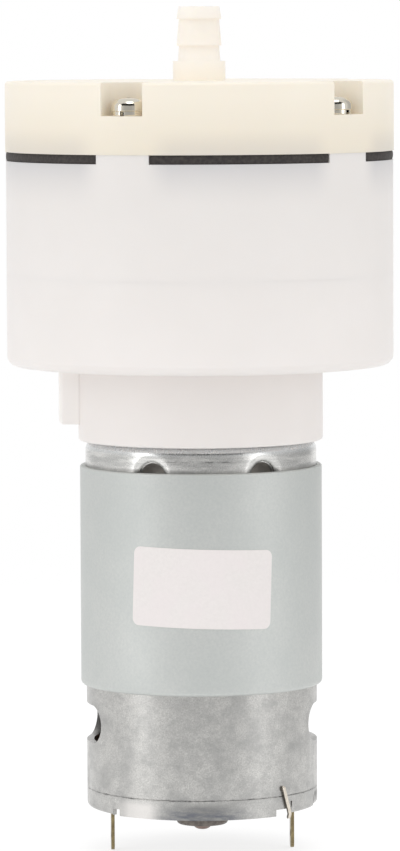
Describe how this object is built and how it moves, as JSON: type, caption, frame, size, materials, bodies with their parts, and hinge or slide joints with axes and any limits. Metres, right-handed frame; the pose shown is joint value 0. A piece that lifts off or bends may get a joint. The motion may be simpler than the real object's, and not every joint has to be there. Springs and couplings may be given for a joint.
{
  "type": "diaphragm vacuum pump",
  "caption": "Round wobble-drive diaphragm vacuum pump head with a barbed suction nozzle, on a cylindrical brushed motor with a flux ring and blade terminals.",
  "frame": {"origin": "on the motor shaft axis, at the middle of the flux ring's height, where a clamp band grips the motor", "axes": "+Z along the motor shaft towards the suction nozzle, -Y towards the front of the picture, +X to its right"},
  "size_m": [0.06, 0.06, 0.1309],
  "materials": {
    "cream_plastic": "satin",
    "white_plastic": "satin",
    "black_rubber": "matte",
    "screw_steel": "polished",
    "bright_steel": "satin",
    "ring_steel": "matte",
    "zinc_steel": "spangled",
    "dark_steel": "satin",
    "ferrite": "matte",
    "copper": "lacquered",
    "brass": "satin",
    "bronze": "matte",
    "carbon": "matte",
    "green_paper": "matte",
    "black_plastic": "satin",
    "nylon": "satin"
  },
  "bodies": {
    "housing": {"top_cover": "cream_plastic", "valve_plate": "white_plastic", "inlet_valves": "black_rubber", "outlet_valves": "black_rubber", "diaphragm": "black_rubber", "cylinder_block": "white_plastic", "crankcase": "white_plastic", "head_screws": "screw_steel", "head_screw_washers": "screw_steel", "motor_screws": "screw_steel", "motor_can": "zinc_steel", "flux_ring": "ring_steel", "magnet_front": "ferrite", "magnet_rear": "ferrite", "magnet_springs": "bright_steel", "front_bush": "bronze", "rear_bush": "bronze", "end_plate": "zinc_steel", "brush_holder": "black_plastic", "terminal_right": "brass", "terminal_left": "brass", "brush_arm_right": "bronze", "brush_arm_left": "bronze", "brush_right": "carbon", "brush_left": "carbon", "earth_strap": "brass"},
    "rotor": {"motor_shaft": "bright_steel", "armature_core": "dark_steel", "core_insulators": "green_paper", "armature_windings": "copper", "commutator_bars": "copper", "commutator_hub": "black_plastic", "shaft_spacers": "nylon", "eccentric_hub": "bright_steel", "hub_set_screw": "dark_steel", "drive_pin": "bright_steel"},
    "swing": {"swing_frame": "nylon", "thrust_ball": "screw_steel"}
  },
  "joints": [
    {"name": "rotor_spin", "type": "hinge", "parent": "housing", "child": "rotor", "pos_m": [0, 0, 0], "axis": [0, 0, 1], "continuous": true},
    {"name": "swing_turn", "type": "hinge", "parent": "rotor", "child": "swing", "pos_m": [0, 0, 0.0571], "axis": [0.1045, 0, 0.9945], "continuous": true, "deforming": ["diaphragm"]}
  ],
  "couplings": [
    {"joint": "swing_turn", "follows": "rotor_spin", "ratio": -1}
  ]
}
